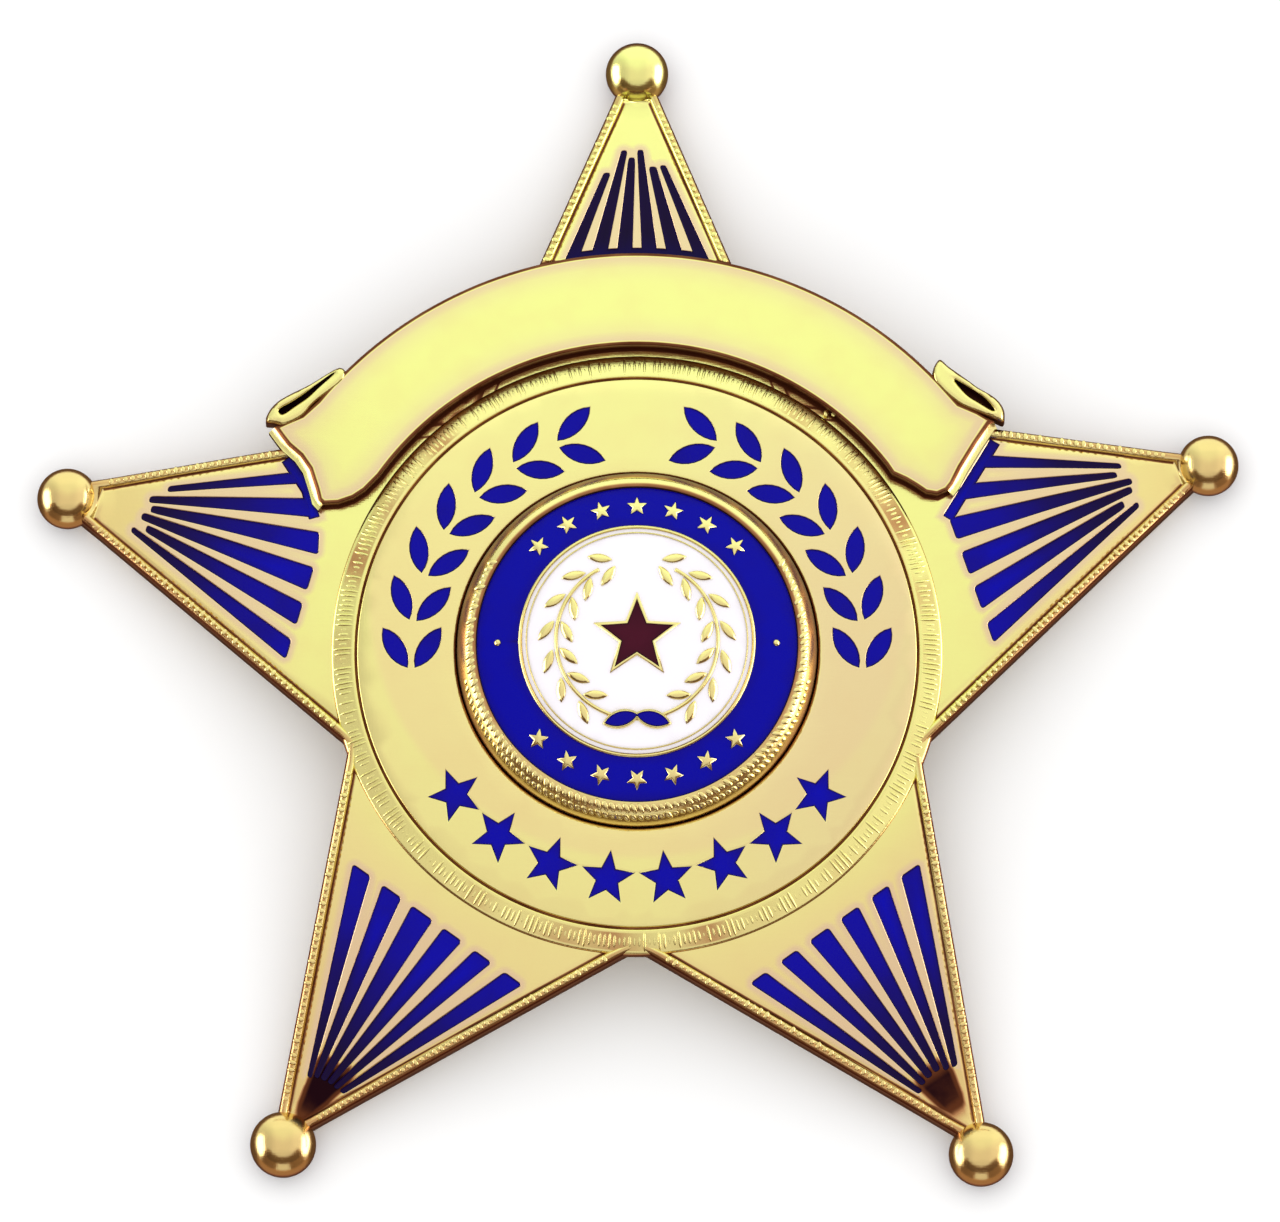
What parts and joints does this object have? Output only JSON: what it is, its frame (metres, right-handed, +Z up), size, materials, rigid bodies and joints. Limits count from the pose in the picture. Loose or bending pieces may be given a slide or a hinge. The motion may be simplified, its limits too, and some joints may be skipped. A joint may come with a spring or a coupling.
{
  "type": "sheriff star badge",
  "caption": "Domed star badge with ball tips, blue enamel rays, a blank ribbon banner, an ornamented raised ring and an applied round enamelled seal, with a brooch pin behind.",
  "frame": {"origin": "middle of the badge's outline, on the surface that it lies on", "axes": "+Z up out of the front face, +Y towards the top point, +X to the right seen from the front"},
  "size_m": [0.0722, 0.07, 0.0104],
  "materials": {
    "gold": "polished gold plate",
    "enamel_blue": "glossy royal blue enamel",
    "enamel_white": "glossy white enamel",
    "enamel_maroon": "glossy maroon enamel"
  },
  "bodies": {
    "root": {"star_body": "gold", "seal_disc": "gold", "seal_ring_enamel": "enamel_blue", "seal_field_enamel": "enamel_white", "seal_star_enamel": "enamel_maroon", "seal_ribbon_enamel": "enamel_blue", "ray_enamel_right": "enamel_blue", "ray_enamel_top": "enamel_blue", "ray_enamel_left": "enamel_blue", "ray_enamel_lower_left": "enamel_blue", "ray_enamel_lower_right": "enamel_blue", "laurel_enamel_left": "enamel_blue", "laurel_enamel_right": "enamel_blue", "star_row_enamel": "enamel_blue", "brooch_pin": "gold"}
  },
  "joints": []
}
